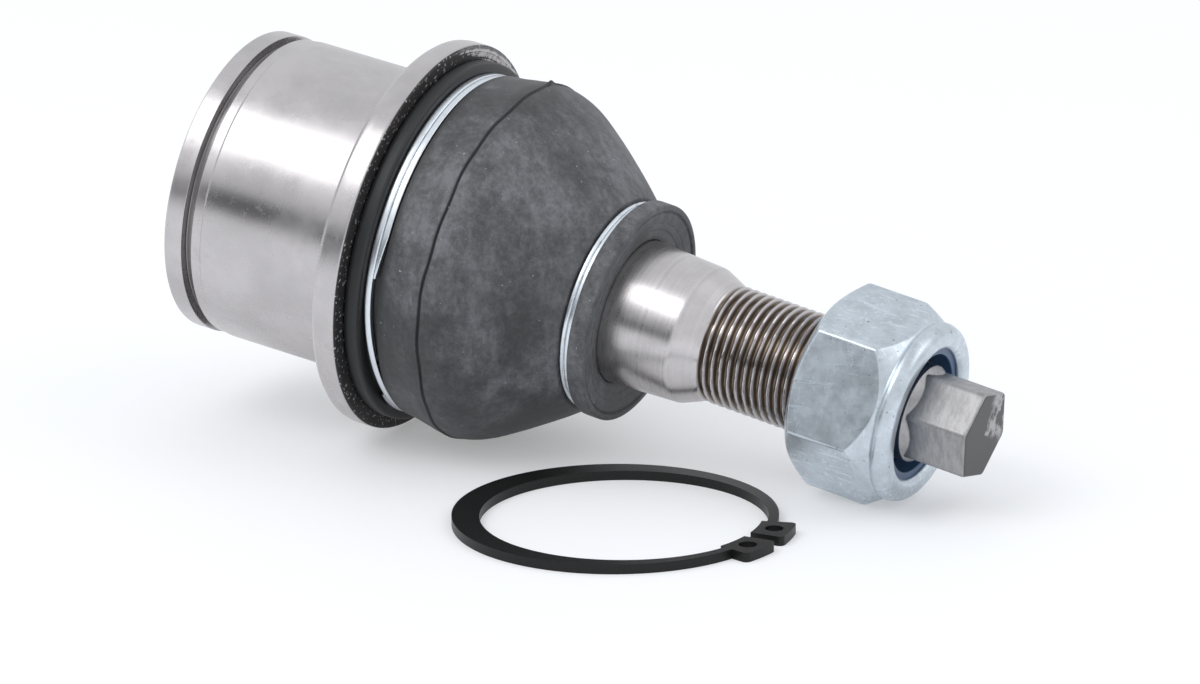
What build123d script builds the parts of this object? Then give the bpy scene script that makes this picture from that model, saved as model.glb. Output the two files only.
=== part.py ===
from build123d import *
import math
import os

# Press-in suspension ball joint: turned steel housing with a retaining-ring groove, rubber boot,
# tapered ball stud, nylon-insert lock nut and a loose external retaining ring.
#
# Lengths are millimetres and angles are degrees. The origin is the centre of the ball and +Z is up.
# The joint lies on a level surface, resting on its flange rim and one corner of the nut, with the
# housing axis sloping down towards the nut along +X. Heights written as "station" are measured along
# the housing axis or the stud axis from the ball centre, positive towards the nut.

# ---- housing ---------------------------------------------------------------------------------
press_fit_radius = 26.0
lead_in_step = 0.2
lead_in_width = 2.0
end_ring_width = 3.4
end_ring_bevel = 0.2
ring_groove_width = 1.75
ring_groove_depth = 1.4
end_bevel = 0.5
flange_radius = 33.4
flange_thickness = 5.1
flange_back_round = 2.6
flange_front_round = 0.5
flange_front_station = 14.0
housing_seam_turn = 26.0
boot_neck_radius = 26.4
boot_neck_length = 7.0
boot_groove_depth = 0.9
bore_radius = 20.0
mouth_radius = 13.4
mouth_land_width = 1.0
mouth_flare_radius = 17.4
mouth_station = 12.0
dome_station = 6.0
closing_lip_thickness = 1.3
closing_lip_radius = 20.6

# ---- cover, spring and bearings ----------------------------------------------------------------
cover_radius = 22.0
cover_thickness = 1.7
cover_dish_radius = 13.0
cover_dish_depth = 0.6
seal_thickness = 1.2
spring_thickness = 0.8
spring_loaded_height = 1.1
spring_inner_radius = 8.0
plate_thickness = 0.8
plate_inner_radius = 5.0
bearing_split_station = -3.0
bearing_front_station = 10.6
bearing_take_up = 0.4
rear_bearing_wall = 1.7
rear_bearing_well_radius = 4.5
grease_groove_count = 6
grease_groove_width = 1.6
grease_groove_depth = 0.7

# ---- ball stud ---------------------------------------------------------------------------------
ball_radius = 16.5
ball_flat_radius = 5.0
neck_radius = 8.3
neck_end_station = 27.0
boot_seat_station = 43.0
taper_start_station = 50.0
taper_large_radius = 12.5
taper_on_diameter = 1 / 10
taper_end_station = 65.9
thread_radius = 10.0
thread_start_station = 70.2
thread_end_station = 102.4
pilot_radius = 8.2
pilot_end_station = 107.2
tail_across_flats = 14.0
tail_corner_radius = 7.9
tail_end_station = 118.4
tail_end_bevel = 0.4
tail_turn = 17.6

# ---- boot and its rings -------------------------------------------------------------------------
boot_wall = 2.2
boot_seat_wall = 1.8
boot_lip_rise = 2.7
boot_lip_width = 2.9
boot_front_station = 20.4
boot_shoulder_rise = 1.4
boot_belly_radius = 30.8
boot_belly_station = 28.0
boot_cone_station = 37.5
boot_cone_radius = 26.7
boot_section_count = 8
cuff_radius = 18.7
cuff_width = 3.1
cuff_recess = 1.3
cuff_front_station = 54.1
clamp_ring_thickness = 1.0
clamp_ring_width = 2.5
neck_ring_radius = 17.9
neck_ring_thickness = 0.9
neck_ring_width = 1.7
wire_edge_bevel = 0.15

# ---- lock nut -----------------------------------------------------------------------------------
nut_across_flats = 30.0
nut_height = 19.0
nut_back_station = 89.4
nut_turn = -17.3
nut_face_radius = 14.2
nut_face_bevel_angle = 33.0
nut_crown_height = 3.3
nut_waist_radius = 14.75
nut_waist_height = 0.7
nut_collar_height = 2.4
nut_collar_radius = 14.95
nut_collar_round = 2.1
nut_lip_radius = 11.2
nut_lip_thickness = 1.2
insert_radius = 12.5
insert_height = 4.4

# ---- retaining ring -----------------------------------------------------------------------------
ring_outer_radius = 26.4
ring_widest_band = 4.7
ring_narrowest_band = 1.5
ring_thickness = 1.6
ring_gap = 2.2
ring_turn = -1.0
lug_rise = 3.2
lug_inner_rise = 0.6
lug_half_angle = 17.5
lug_hole_angle = 10.0
lug_hole_radius = 1.5
lug_round_share = 0.28
ring_place_ahead = 64.9
ring_place_aside = -33.9

# ---- stance -------------------------------------------------------------------------------------
stud_lean = 2.36
stud_lean_side = 131.6
rest_corner = 3

# ---- clearances ---------------------------------------------------------------------------------
running_clearance = 0.05
seat_clearance = 0.05
soft_clearance = 0.1
groove_clearance = 0.3

# ---- stations worked out from the sizes above ------------------------------------------------------
flange_back_station = flange_front_station - flange_thickness
housing_front_station = flange_front_station + boot_neck_length
rear_bearing_station = -(ball_radius + rear_bearing_wall)
plate_back_station = rear_bearing_station - seat_clearance - plate_thickness
cover_front_station = plate_back_station - spring_loaded_height - 2 * seat_clearance
cover_back_station = cover_front_station - cover_thickness
end_station = cover_back_station - seat_clearance - closing_lip_thickness
groove_low_station = end_station + end_ring_width
groove_high_station = groove_low_station + ring_groove_width
press_start_station = groove_high_station + lead_in_width
lead_in_radius = press_fit_radius - lead_in_step
groove_radius = lead_in_radius - ring_groove_depth
seal_pocket = seal_thickness + 2 * seat_clearance
clamp_ring_station = flange_front_station + boot_lip_width + soft_clearance
boot_groove_radius = boot_neck_radius + soft_clearance + boot_seat_wall
clamp_ring_radius = boot_groove_radius + soft_clearance + clamp_ring_thickness
boot_lip_radius = boot_groove_radius + boot_lip_rise
boot_shoulder_radius = boot_groove_radius + boot_shoulder_rise
neck_ring_station = cuff_front_station - cuff_width - soft_clearance - neck_ring_width
neck_groove_radius = neck_ring_radius - neck_ring_thickness - soft_clearance
race_radius = ball_radius + running_clearance
nut_corner_radius = nut_across_flats / 2 / math.cos(math.pi / 6)
nut_collar_start = nut_height - nut_collar_height
nut_crown_end = nut_collar_start - nut_waist_height
nut_crown_start = nut_crown_end - nut_crown_height
insert_floor = nut_height - nut_lip_thickness - insert_height - 2 * seat_clearance
ring_inner_radius = ring_outer_radius - (ring_widest_band + ring_narrowest_band) / 2
ring_eccentricity = (ring_widest_band - ring_narrowest_band) / 2
lug_outer_radius = ring_outer_radius + lug_rise
lug_inner_radius = ring_inner_radius + lug_inner_rise
lug_hole_place_radius = (lug_outer_radius + lug_inner_radius) / 2
lug_corner_round = (lug_outer_radius - ring_outer_radius) * lug_round_share


def sphere_reach(radius, height):
    """Radius of a sphere's section at a height from its centre, or its height at a radius."""
    return math.sqrt(radius**2 - height**2)


def taper_radius(station):
    """Radius of the stud's taper at a station."""
    return taper_large_radius - (station - taper_start_station) * taper_on_diameter / 2


def rest_slope():
    """Slope at which the flange rim and the lowest corner of the nut reach the same level."""
    corner_angle = math.radians(nut_turn + 60 * rest_corner)
    lean = math.radians(stud_lean)
    side = math.radians(stud_lean_side)
    station = nut_back_station + nut_crown_start
    along = station * math.cos(lean)
    up = station * math.sin(lean) * math.cos(side) + nut_corner_radius * math.cos(corner_angle)
    return math.degrees(math.atan2(flange_radius + up, along - flange_front_station))


slope = math.radians(rest_slope())
floor_height = -(flange_radius * math.cos(slope) + flange_front_station * math.sin(slope))


def leaning_frame(share):
    """Frame at the ball centre: the housing's frame turned by a share of the stud's lean."""
    lean = math.radians(stud_lean * share)
    side = math.radians(stud_lean_side)
    ahead = Vector(math.cos(slope), 0, -math.sin(slope))
    up = Vector(math.sin(slope), 0, math.cos(slope))
    aside = ahead.cross(up)
    sideways = up * math.cos(side) + aside * math.sin(side)
    axis = ahead * math.cos(lean) + sideways * math.sin(lean)
    return Plane(origin=(0, 0, 0), x_dir=up, z_dir=axis)


housing_frame = leaning_frame(0)
stud_frame = leaning_frame(1)
floor_frame = Plane(origin=(ring_place_ahead, ring_place_aside, floor_height))


def turned(outline):
    """Solid of revolution about local Z from a closed line of (radius, station)."""
    return revolve(Plane.XZ * make_face(outline), Axis.Z)


def turned_points(*points):
    """Solid of revolution about local Z from the corners of its half section."""
    return turned(Polyline(*points, close=True))


def rounded_edge(solid, edge_radius, station, fillet_radius):
    """Fillet the circular edge of a turned solid that has this radius and station."""
    edge = solid.edges().filter_by(GeomType.CIRCLE).sort_by(
        lambda e: abs(e.radius - edge_radius) + abs(e.arc_center.Z - station)
    )[0]
    return fillet(edge, fillet_radius)


def make_housing():
    """Turned shell: end ring, groove, lead-in land, press-fit land, flange, boot neck and bore."""
    neck_groove_front = clamp_ring_station + clamp_ring_width
    pocket_radius = cover_radius + seat_clearance
    shell = turned_points(
        (closing_lip_radius, end_station),
        (press_fit_radius - end_ring_bevel, end_station),
        (press_fit_radius, end_station + end_ring_bevel),
        (press_fit_radius, groove_low_station),
        (groove_radius, groove_low_station),
        (groove_radius, groove_high_station),
        (lead_in_radius, groove_high_station),
        (lead_in_radius, press_start_station - lead_in_step),
        (press_fit_radius, press_start_station),
        (press_fit_radius, flange_back_station),
        (flange_radius, flange_back_station),
        (flange_radius, flange_front_station),
        (boot_neck_radius, flange_front_station),
        (boot_neck_radius, clamp_ring_station),
        (boot_neck_radius - boot_groove_depth, clamp_ring_station),
        (boot_neck_radius - boot_groove_depth, neck_groove_front),
        (boot_neck_radius, neck_groove_front),
        (boot_neck_radius, housing_front_station - end_bevel),
        (boot_neck_radius - end_bevel, housing_front_station),
        (mouth_flare_radius, housing_front_station),
        (mouth_radius, mouth_station + mouth_land_width),
        (mouth_radius, mouth_station),
        (bore_radius, dome_station),
        (bore_radius, cover_front_station + seal_pocket),
        (bore_radius + seal_pocket, cover_front_station + seal_pocket),
        (bore_radius + seal_pocket, cover_front_station),
        (pocket_radius, cover_front_station),
        (pocket_radius, end_station + closing_lip_thickness),
        (closing_lip_radius, end_station + closing_lip_thickness),
    )
    shell = rounded_edge(shell, flange_radius, flange_back_station, flange_back_round)
    shell = rounded_edge(shell, flange_radius, flange_front_station, flange_front_round)
    return Rotation(0, 0, housing_seam_turn) * shell


def make_cover_plate():
    """Pressed disc with a shallow outward dish, held under the rolled lip of the housing."""
    dish_foot = cover_dish_radius + 2 * cover_dish_depth
    return turned_points(
        (0, cover_back_station - cover_dish_depth),
        (cover_dish_radius, cover_back_station - cover_dish_depth),
        (dish_foot, cover_back_station),
        (cover_radius, cover_back_station),
        (cover_radius, cover_front_station),
        (dish_foot, cover_front_station),
        (cover_dish_radius, cover_front_station - cover_dish_depth),
        (0, cover_front_station - cover_dish_depth),
    )


def make_cover_seal():
    """Rubber ring of round section, nipped between the cover and its pocket in the bore."""
    seal_radius = bore_radius + seal_pocket / 2
    seal_station = cover_front_station + seal_pocket / 2
    return Location((0, 0, seal_station)) * Torus(seal_radius, seal_thickness / 2)


def make_disc_spring():
    """Coned spring washer between the cover and the pressure plate."""
    outer = bore_radius - groove_clearance
    low = cover_front_station + seat_clearance
    high = plate_back_station - seat_clearance
    return turned_points(
        (spring_inner_radius, high - spring_thickness),
        (outer, low),
        (outer, low + spring_thickness),
        (spring_inner_radius, high),
    )


def make_pressure_plate():
    """Flat steel washer that spreads the spring's load over the rear bearing."""
    outer = bore_radius - groove_clearance
    return turned_points(
        (plate_inner_radius, plate_back_station),
        (outer, plate_back_station),
        (outer, plate_back_station + plate_thickness),
        (plate_inner_radius, plate_back_station + plate_thickness),
    )


def grease_grooves(depth_radius):
    """Meridian grooves, cut into a bearing's cup as flat discs that stand round the axis."""
    groove = Plane.XZ * Cylinder(depth_radius, grease_groove_width)
    turns = PolarLocations(0, grease_groove_count // 2, angular_range=180)
    return Part() + [turn * groove for turn in turns]


def make_front_bearing():
    """Front half of the polymer race: seated in the dome, with a spherical cup round the ball."""
    outer = bore_radius - seat_clearance
    dome_run = (bore_radius - mouth_radius) / (mouth_station - dome_station)
    dome_low = dome_station - 2 * seat_clearance
    front_radius = outer - dome_run * (bearing_front_station - dome_low)
    cup_front = (sphere_reach(race_radius, bearing_front_station), bearing_front_station)
    cup_low = (sphere_reach(race_radius, bearing_split_station), bearing_split_station)
    walls = Polyline(cup_low, (outer, bearing_split_station), (outer, dome_low),
                     (front_radius, bearing_front_station), cup_front)
    race = turned(walls + ThreePointArc(cup_front, (race_radius, 0), cup_low))
    return race - grease_grooves(race_radius + grease_groove_depth)


def make_rear_bearing():
    """Rear half of the polymer race, pushed against the ball and free to creep in the bore."""
    outer = bore_radius - running_clearance
    top = bearing_split_station - bearing_take_up
    cup_top = (sphere_reach(race_radius, top), top)
    cup_low = (rear_bearing_well_radius, -sphere_reach(race_radius, rear_bearing_well_radius))
    cup_middle = (race_radius * math.sin(math.pi / 4), -race_radius * math.cos(math.pi / 4))
    walls = Polyline(cup_low, (rear_bearing_well_radius, rear_bearing_station),
                     (outer, rear_bearing_station), (outer, top), cup_top)
    race = turned(walls + ThreePointArc(cup_top, cup_middle, cup_low))
    return race - grease_grooves(race_radius + grease_groove_depth)


def hexagon_bar(across_flats, turn, low, high):
    """Hexagonal prism on local Z, with one corner at the given angle from local X."""
    corner = across_flats / 2 / math.cos(math.pi / 6)
    section = Plane.XY.offset(low) * Rotation(0, 0, turn) * RegularPolygon(corner, 6)
    return extrude(section, high - low)


def make_ball_stud():
    """Ball, neck, boot seat, taper, thread blank, pilot and hexagonal wrench tail in one forging."""
    ball_flat = -sphere_reach(ball_radius, ball_flat_radius)
    ball_top = (neck_radius, sphere_reach(ball_radius, neck_radius))
    flare_radius = (neck_radius + taper_large_radius) / 2
    flare_middle = (flare_radius, (neck_end_station + boot_seat_station) / 2)
    thread_chamfer = thread_radius - pilot_radius
    tail_radius = tail_across_flats / 2
    ball = Polyline((0, ball_flat), (ball_flat_radius, ball_flat))
    ball += ThreePointArc((ball_flat_radius, ball_flat), (ball_radius, 0), ball_top)
    flare = Spline((neck_radius, neck_end_station), flare_middle, (taper_large_radius, boot_seat_station),
                   tangents=((0, 1), (0, 1)))
    shank = Polyline(
        (taper_large_radius, boot_seat_station),
        (taper_large_radius, taper_start_station),
        (taper_radius(taper_end_station), taper_end_station),
        (thread_radius, thread_start_station),
        (thread_radius, thread_end_station),
        (pilot_radius, thread_end_station + thread_chamfer),
        (pilot_radius, pilot_end_station),
        (tail_radius, pilot_end_station + pilot_radius - tail_radius),
        (0, pilot_end_station + pilot_radius - tail_radius),
        (0, ball_flat),
    )
    body = turned(ball + Line(ball_top, (neck_radius, neck_end_station)) + flare + shank)
    tail = hexagon_bar(tail_across_flats, tail_turn, thread_end_station, tail_end_station)
    tail &= turned_points(
        (0, thread_end_station),
        (tail_corner_radius, thread_end_station),
        (tail_corner_radius, tail_end_station - tail_end_bevel),
        (tail_corner_radius - tail_end_bevel, tail_end_station),
        (0, tail_end_station),
    )
    return body + tail


def make_lock_nut():
    """Hexagon with a bevelled bearing face, a crowned front and a collar rolled over the insert."""
    corner = nut_corner_radius + running_clearance
    face_rise = (corner - nut_face_radius) * math.tan(math.radians(nut_face_bevel_angle))
    hexagon = hexagon_bar(nut_across_flats, nut_turn, 0, nut_height)
    crown = turned_points(
        (0, 0),
        (nut_face_radius, 0),
        (corner, face_rise),
        (corner, nut_crown_start),
        (nut_waist_radius, nut_crown_end),
        (nut_collar_radius, nut_collar_start),
        (nut_collar_radius, nut_height),
        (0, nut_height),
    )
    solid = hexagon & crown
    solid = rounded_edge(solid, nut_collar_radius, nut_height, nut_collar_round)
    bore = turned_points(
        (0, 0),
        (thread_radius + running_clearance, 0),
        (thread_radius + running_clearance, insert_floor),
        (insert_radius + running_clearance, insert_floor),
        (insert_radius + running_clearance, nut_height - nut_lip_thickness),
        (nut_lip_radius, nut_height - nut_lip_thickness),
        (nut_lip_radius, nut_height),
        (0, nut_height),
    )
    return Location((0, 0, nut_back_station)) * (solid - bore)


def make_nylon_insert():
    """Locking ring of nylon, held in the nut's pocket under the rolled lip."""
    low = nut_back_station + insert_floor + seat_clearance
    return turned_points(
        (thread_radius + running_clearance, low),
        (insert_radius, low),
        (insert_radius, low + insert_height),
        (thread_radius + running_clearance, low + insert_height),
    )


def flat_wire_ring(outer_radius, thickness, width, station, turns):
    """Ring of flat wire wound in turns side by side, each turn with bevelled edges."""
    inner_radius = outer_radius - thickness
    turn_width = width / turns
    inner_side = []
    outer_side = []
    for turn in range(turns):
        low = station + turn * turn_width
        high = low + turn_width
        outer_side += [(outer_radius - wire_edge_bevel, low), (outer_radius, low + wire_edge_bevel),
                       (outer_radius, high - wire_edge_bevel), (outer_radius - wire_edge_bevel, high)]
        inner_side += [(inner_radius, low), (inner_radius, high)]
    inner_ends = [inner_side[-1], inner_side[0]]
    corners = [outer_side[0]] + [p for p, q in zip(outer_side[1:], outer_side[:-1]) if p != q]
    return turned_points(*corners, *inner_ends)


def boot_sections(inset):
    """Circles along the boot's outline, each leaning by its share of the stud's lean."""
    neck_seat_radius = neck_groove_radius + boot_wall / 2
    outline = Spline(
        (boot_shoulder_radius, boot_front_station),
        (boot_belly_radius, boot_belly_station),
        (boot_cone_radius, boot_cone_station),
        (neck_seat_radius, neck_ring_station),
    )
    sections = []
    for step in range(boot_section_count):
        share = step / (boot_section_count - 1)
        radius, station = (outline @ share).X, (outline @ share).Y
        lean_share = (station - boot_front_station) / (neck_ring_station - boot_front_station)
        plane = leaning_frame(lean_share).offset(station)
        sections.append(plane * Circle(radius - inset))
    return sections


def make_dust_boot():
    """Rubber boot: lip and clamp seat on the housing, a lofted belly, and a dished neck cuff."""
    neck_inner = boot_neck_radius + soft_clearance
    base = turned_points(
        (neck_inner, flange_front_station + soft_clearance),
        (boot_lip_radius, flange_front_station + soft_clearance),
        (boot_lip_radius, clamp_ring_station - soft_clearance),
        (boot_groove_radius, clamp_ring_station - soft_clearance),
        (boot_groove_radius, clamp_ring_station + clamp_ring_width + soft_clearance),
        (boot_shoulder_radius, boot_front_station),
        (boot_shoulder_radius - boot_wall, boot_front_station),
        (neck_inner, boot_front_station - boot_wall / 2),
    )
    seat = taper_large_radius + running_clearance
    recess = cuff_front_station - cuff_recess
    cuff = turned_points(
        (seat, neck_ring_station),
        (neck_groove_radius + boot_wall / 2, neck_ring_station),
        (neck_groove_radius, neck_ring_station),
        (neck_groove_radius, cuff_front_station - cuff_width),
        (cuff_radius, cuff_front_station - cuff_width),
        (cuff_radius, cuff_front_station - wire_edge_bevel),
        (cuff_radius - wire_edge_bevel, cuff_front_station),
        (cuff_radius - boot_wall, cuff_front_station),
        (seat, recess),
    )
    belly = loft(boot_sections(0)) - loft(boot_sections(boot_wall))
    return housing_frame.location * base + belly + stud_frame.location * cuff


def ring_lug(side):
    """One eared end of the retaining ring, on one side of the gap."""
    sweep = side * lug_half_angle
    middle = math.radians(sweep / 2)
    end = math.radians(sweep)
    outer_arc = ThreePointArc(
        (lug_outer_radius, 0),
        (lug_outer_radius * math.cos(middle), lug_outer_radius * math.sin(middle)),
        (lug_outer_radius * math.cos(end), lug_outer_radius * math.sin(end)),
    )
    inner_arc = ThreePointArc(
        (lug_inner_radius * math.cos(end), lug_inner_radius * math.sin(end)),
        (lug_inner_radius * math.cos(middle), lug_inner_radius * math.sin(middle)),
        (lug_inner_radius, 0),
    )
    sides = Line(outer_arc @ 1, inner_arc @ 0) + Line(inner_arc @ 1, outer_arc @ 0)
    return make_face(outer_arc + inner_arc + sides)


def make_retaining_ring():
    """External retaining ring: eccentric band, two drilled lugs and a gap, lying flat."""
    band = Circle(ring_outer_radius) - Pos(ring_eccentricity, 0) * Circle(ring_inner_radius)
    plan = band + ring_lug(1) + ring_lug(-1)
    ear_depth = lug_outer_radius - ring_inner_radius + ring_eccentricity
    plan -= Pos(lug_outer_radius, 0) * Rectangle(2 * ear_depth, ring_gap)
    for side in (1, -1):
        angle = math.radians(side * lug_hole_angle)
        place = Pos(lug_hole_place_radius * math.cos(angle), lug_hole_place_radius * math.sin(angle))
        plan -= place * Circle(lug_hole_radius)
    corner_reach = lug_outer_radius - lug_corner_round
    ear_corners = plan.vertices().filter_by(lambda v: math.hypot(v.X, v.Y) > corner_reach)
    ring = extrude(fillet(ear_corners, lug_corner_round), ring_thickness)
    return Rotation(0, 0, ring_turn) * ring


pieces = {
    "housing": (housing_frame, make_housing()),
    "cover_plate": (housing_frame, make_cover_plate()),
    "cover_seal": (housing_frame, make_cover_seal()),
    "disc_spring": (housing_frame, make_disc_spring()),
    "pressure_plate": (housing_frame, make_pressure_plate()),
    "front_bearing": (housing_frame, make_front_bearing()),
    "rear_bearing": (housing_frame, make_rear_bearing()),
    "clamp_ring": (housing_frame, flat_wire_ring(
        clamp_ring_radius, clamp_ring_thickness, clamp_ring_width, clamp_ring_station, 2)),
    "neck_ring": (stud_frame, flat_wire_ring(
        neck_ring_radius, neck_ring_thickness, neck_ring_width, neck_ring_station, 1)),
    "ball_stud": (stud_frame, make_ball_stud()),
    "lock_nut": (stud_frame, make_lock_nut()),
    "nylon_insert": (stud_frame, make_nylon_insert()),
    "dust_boot": (Plane.XY, make_dust_boot()),
    "retaining_ring": (floor_frame, make_retaining_ring()),
}

os.makedirs("parts", exist_ok=True)
for name, (frame, solid) in pieces.items():
    export_step(frame.location * solid, f"parts/{name}.step")
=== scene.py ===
import math

import bpy
import numpy as np
from mathutils import Matrix


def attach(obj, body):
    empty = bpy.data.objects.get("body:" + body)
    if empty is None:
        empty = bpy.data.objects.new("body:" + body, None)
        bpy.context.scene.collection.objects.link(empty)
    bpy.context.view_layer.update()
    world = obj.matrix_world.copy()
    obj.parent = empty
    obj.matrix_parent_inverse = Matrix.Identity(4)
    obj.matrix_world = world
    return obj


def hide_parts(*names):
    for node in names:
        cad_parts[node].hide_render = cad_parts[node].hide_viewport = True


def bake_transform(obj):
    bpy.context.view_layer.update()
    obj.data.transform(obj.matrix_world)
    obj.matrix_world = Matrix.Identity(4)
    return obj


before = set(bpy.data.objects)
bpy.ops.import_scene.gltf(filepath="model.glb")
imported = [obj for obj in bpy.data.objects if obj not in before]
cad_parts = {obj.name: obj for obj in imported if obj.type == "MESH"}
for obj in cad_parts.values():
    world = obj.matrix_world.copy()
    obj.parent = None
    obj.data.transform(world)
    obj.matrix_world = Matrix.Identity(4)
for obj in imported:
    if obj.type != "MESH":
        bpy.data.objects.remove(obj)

bl_info = {
    "name": "Suspension ball joint",
    "version": (1, 0, 0),
    "blender": (4, 5, 0),
    "location": "View3D > Sidebar > Ball joint",
    "description": "Builds a press-in suspension ball joint that bends and turns on its frame",
    "category": "Object",
}

MM = 0.001
TURN = 2 * math.pi
SENSOR_WIDTH = 36.0  # millimetres
JOIN = 1e-8  # points closer than this, in metres, become one
EASE_STEPS = 5  # points on the round of one corner
MOST_CUT = 0.4  # largest share of a side that a corner's round takes
HOLD = 1.2  # where the extra points beyond a round stand, in reaches
WHITE = (1.0, 1.0, 1.0, 1.0)
BLACK = (0.0, 0.0, 0.0, 1.0)


# ---- settings ----
def length(name, millimetres, description):
    """Length property whose default is given in millimetres."""
    return bpy.props.FloatProperty(
        name=name, description=description, default=millimetres * MM, subtype="DISTANCE",
        unit="LENGTH", precision=5)


def angle(name, degrees, description):
    """Angle property whose default is given in degrees."""
    return bpy.props.FloatProperty(
        name=name, description=description, default=math.radians(degrees), subtype="ANGLE",
        unit="ROTATION")


def count(name, default, description):
    """Whole-number property."""
    return bpy.props.IntProperty(name=name, description=description, default=default, min=3)


def factor(name, default, description, unit="NONE"):
    """Plain number property, with a unit where it has one."""
    return bpy.props.FloatProperty(name=name, description=description, default=default, unit=unit)


def colour(name, value, description):
    """Colour property."""
    return bpy.props.FloatVectorProperty(
        name=name, description=description, default=(*value, 1.0), subtype="COLOR", size=4, min=0.0,
        max=1.0)


class StanceSettings(bpy.types.PropertyGroup):
    slope: angle("Slope", 9.096, "Fall of the housing axis towards the nut")
    lean: angle("Lean", 2.36, "Angle between the stud axis and the housing axis")
    side: angle("Lean side", 131.6, "Direction of the lean round the housing axis, from up")
    floor: length("Floor height", -35.193, "Height of the surface below the ball centre")


class HousingSettings(bpy.types.PropertyGroup):
    land: length("Press-fit radius", 26.0, "Radius of the land and of the end ring")
    lead: length("Lead-in radius", 25.8, "Radius of the lead-in beside the groove")
    groove: length("Groove radius", 24.4, "Radius of the ring groove's floor")
    end: length("End station", -23.3, "Station of the closed end")
    groove_low: length("Groove start", -19.9, "Station of the groove's rear wall")
    groove_high: length("Groove finish", -18.15, "Station of the groove's front wall")
    land_low: length("Land start", -16.15, "Station where the land starts")
    flange: length("Flange radius", 33.4, "Radius of the flange")
    flange_low: length("Flange back", 8.9, "Station of its back face")
    flange_high: length("Flange front", 14.0, "Station of its front face")
    neck: length("Boot neck radius", 26.4, "Radius of the neck inside the boot")
    front: length("Front station", 21.0, "Station of the front of the neck")
    bore: length("Bore radius", 20.0, "Radius of the bore round the race")
    mouth: length("Mouth radius", 13.4, "Radius that the stud leans in")
    steps: count("Steps round", 288, "Steps round the housing")


class WireSettings(bpy.types.PropertyGroup):
    clamp_radius: length("Clamp ring radius", 29.4, "Outer radius")
    clamp_low: length("Clamp ring start", 17.0, "Station of its first side")
    clamp_wire: length("Clamp wire width", 1.25, "Width of one turn of the clamp ring")
    clamp_thickness: length("Clamp wire thickness", 1.0, "Thickness of the clamp wire")
    clamp_start: angle("Clamp wire start", 138.0, "Direction of its end near the flange")
    clamp_turns: factor("Clamp turns", 1.858, "Between one and two")
    taper: angle("Taper", 14.0, "Angle over which a wire's ends narrow")
    tip: factor("Tip", 0.35, "Share of the width left at a wire's ends")
    packing: factor("Packing", 0.985, "Share of its place that a turn fills")
    rounding: length("Wire rounding", 0.3, "How far the wire's edges are rounded")
    neck_radius: length("Neck ring radius", 17.9, "Outer radius")
    neck_low: length("Neck ring start", 49.2, "Station of its first side")
    neck_wire: length("Neck wire width", 0.85, "Width of one turn of the neck ring")
    neck_thickness: length("Neck wire thickness", 0.9, "Thickness of the neck wire")
    neck_start: angle("Neck wire start", 250.0, "Direction of its end near the belly")
    neck_turns: factor("Neck turns", 1.93, "Between one and two")
    steps: count("Steps a turn", 240, "Steps along one turn of wire")


class BootSettings(bpy.types.PropertyGroup):
    lip: length("Lip radius", 31.0, "Radius of the lip on the flange")
    bore: length("Lip bore", 26.5, "Radius of the bore round the housing's neck")
    groove: length("Clamp seat radius", 28.3, "Radius under the clamp ring")
    seam: length("Seam station", 28.4, "Station of the moulding seam")
    seam_rise: length("Seam height", 0.22, "How far the seam stands out")
    nick: angle("Flash direction", -11.0, "Direction of the flash on the seam")
    neck: length("Neck seat radius", 16.9, "Radius under the neck ring")
    cuff: length("Cuff radius", 18.7, "Radius of the neck cuff")
    cuff_front: length("Cuff front", 54.1, "Station of the front of the cuff")
    seat: length("Stud seat radius", 12.53, "Radius round the stud")
    lean_low: length("Lean start", 20.4, "Station where it starts to lean")
    lean_high: length("Lean finish", 49.0, "Station where it leans as the stud does")
    steps: count("Steps round", 270, "Steps round the boot")


class StudSettings(bpy.types.PropertyGroup):
    ball: length("Ball radius", 16.5, "Radius of the ball")
    neck: length("Neck radius", 8.3, "Radius behind the ball")
    taper_large: length("Taper's large radius", 12.5, "Radius at the taper's large end")
    taper_small: length("Taper's small radius", 11.705, "Radius at the taper's small end")
    taper_low: length("Taper start", 50.0, "Station of the taper's large end")
    taper_high: length("Taper finish", 65.9, "Station of the taper's small end")
    thread: length("Thread radius", 10.0, "Radius of the thread's crest")
    pitch: length("Thread pitch", 1.5, "Travel of the nut for one turn")
    depth: length("Thread depth", 0.9, "Depth of the thread")
    thread_low: length("Thread start", 70.2, "Station where the thread starts")
    thread_high: length("Thread finish", 102.4, "Station where its end bevel starts")
    pilot: length("Pilot radius", 8.2, "Radius of the plain end beyond the thread")
    pilot_end: length("Pilot end", 107.2, "Station where the pilot ends")
    flats: length("Tail across flats", 14.0, "Width of the wrench tail")
    corner: length("Tail corner radius", 7.9, "Radius that cuts the tail's corners")
    tail_end: length("Tail end", 118.4, "Station of the end face")
    tail_turn: angle("Tail turn", 17.6, "Direction of one corner of the tail, from up")
    steps: count("Steps round", 216, "Steps round the stud")


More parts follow.
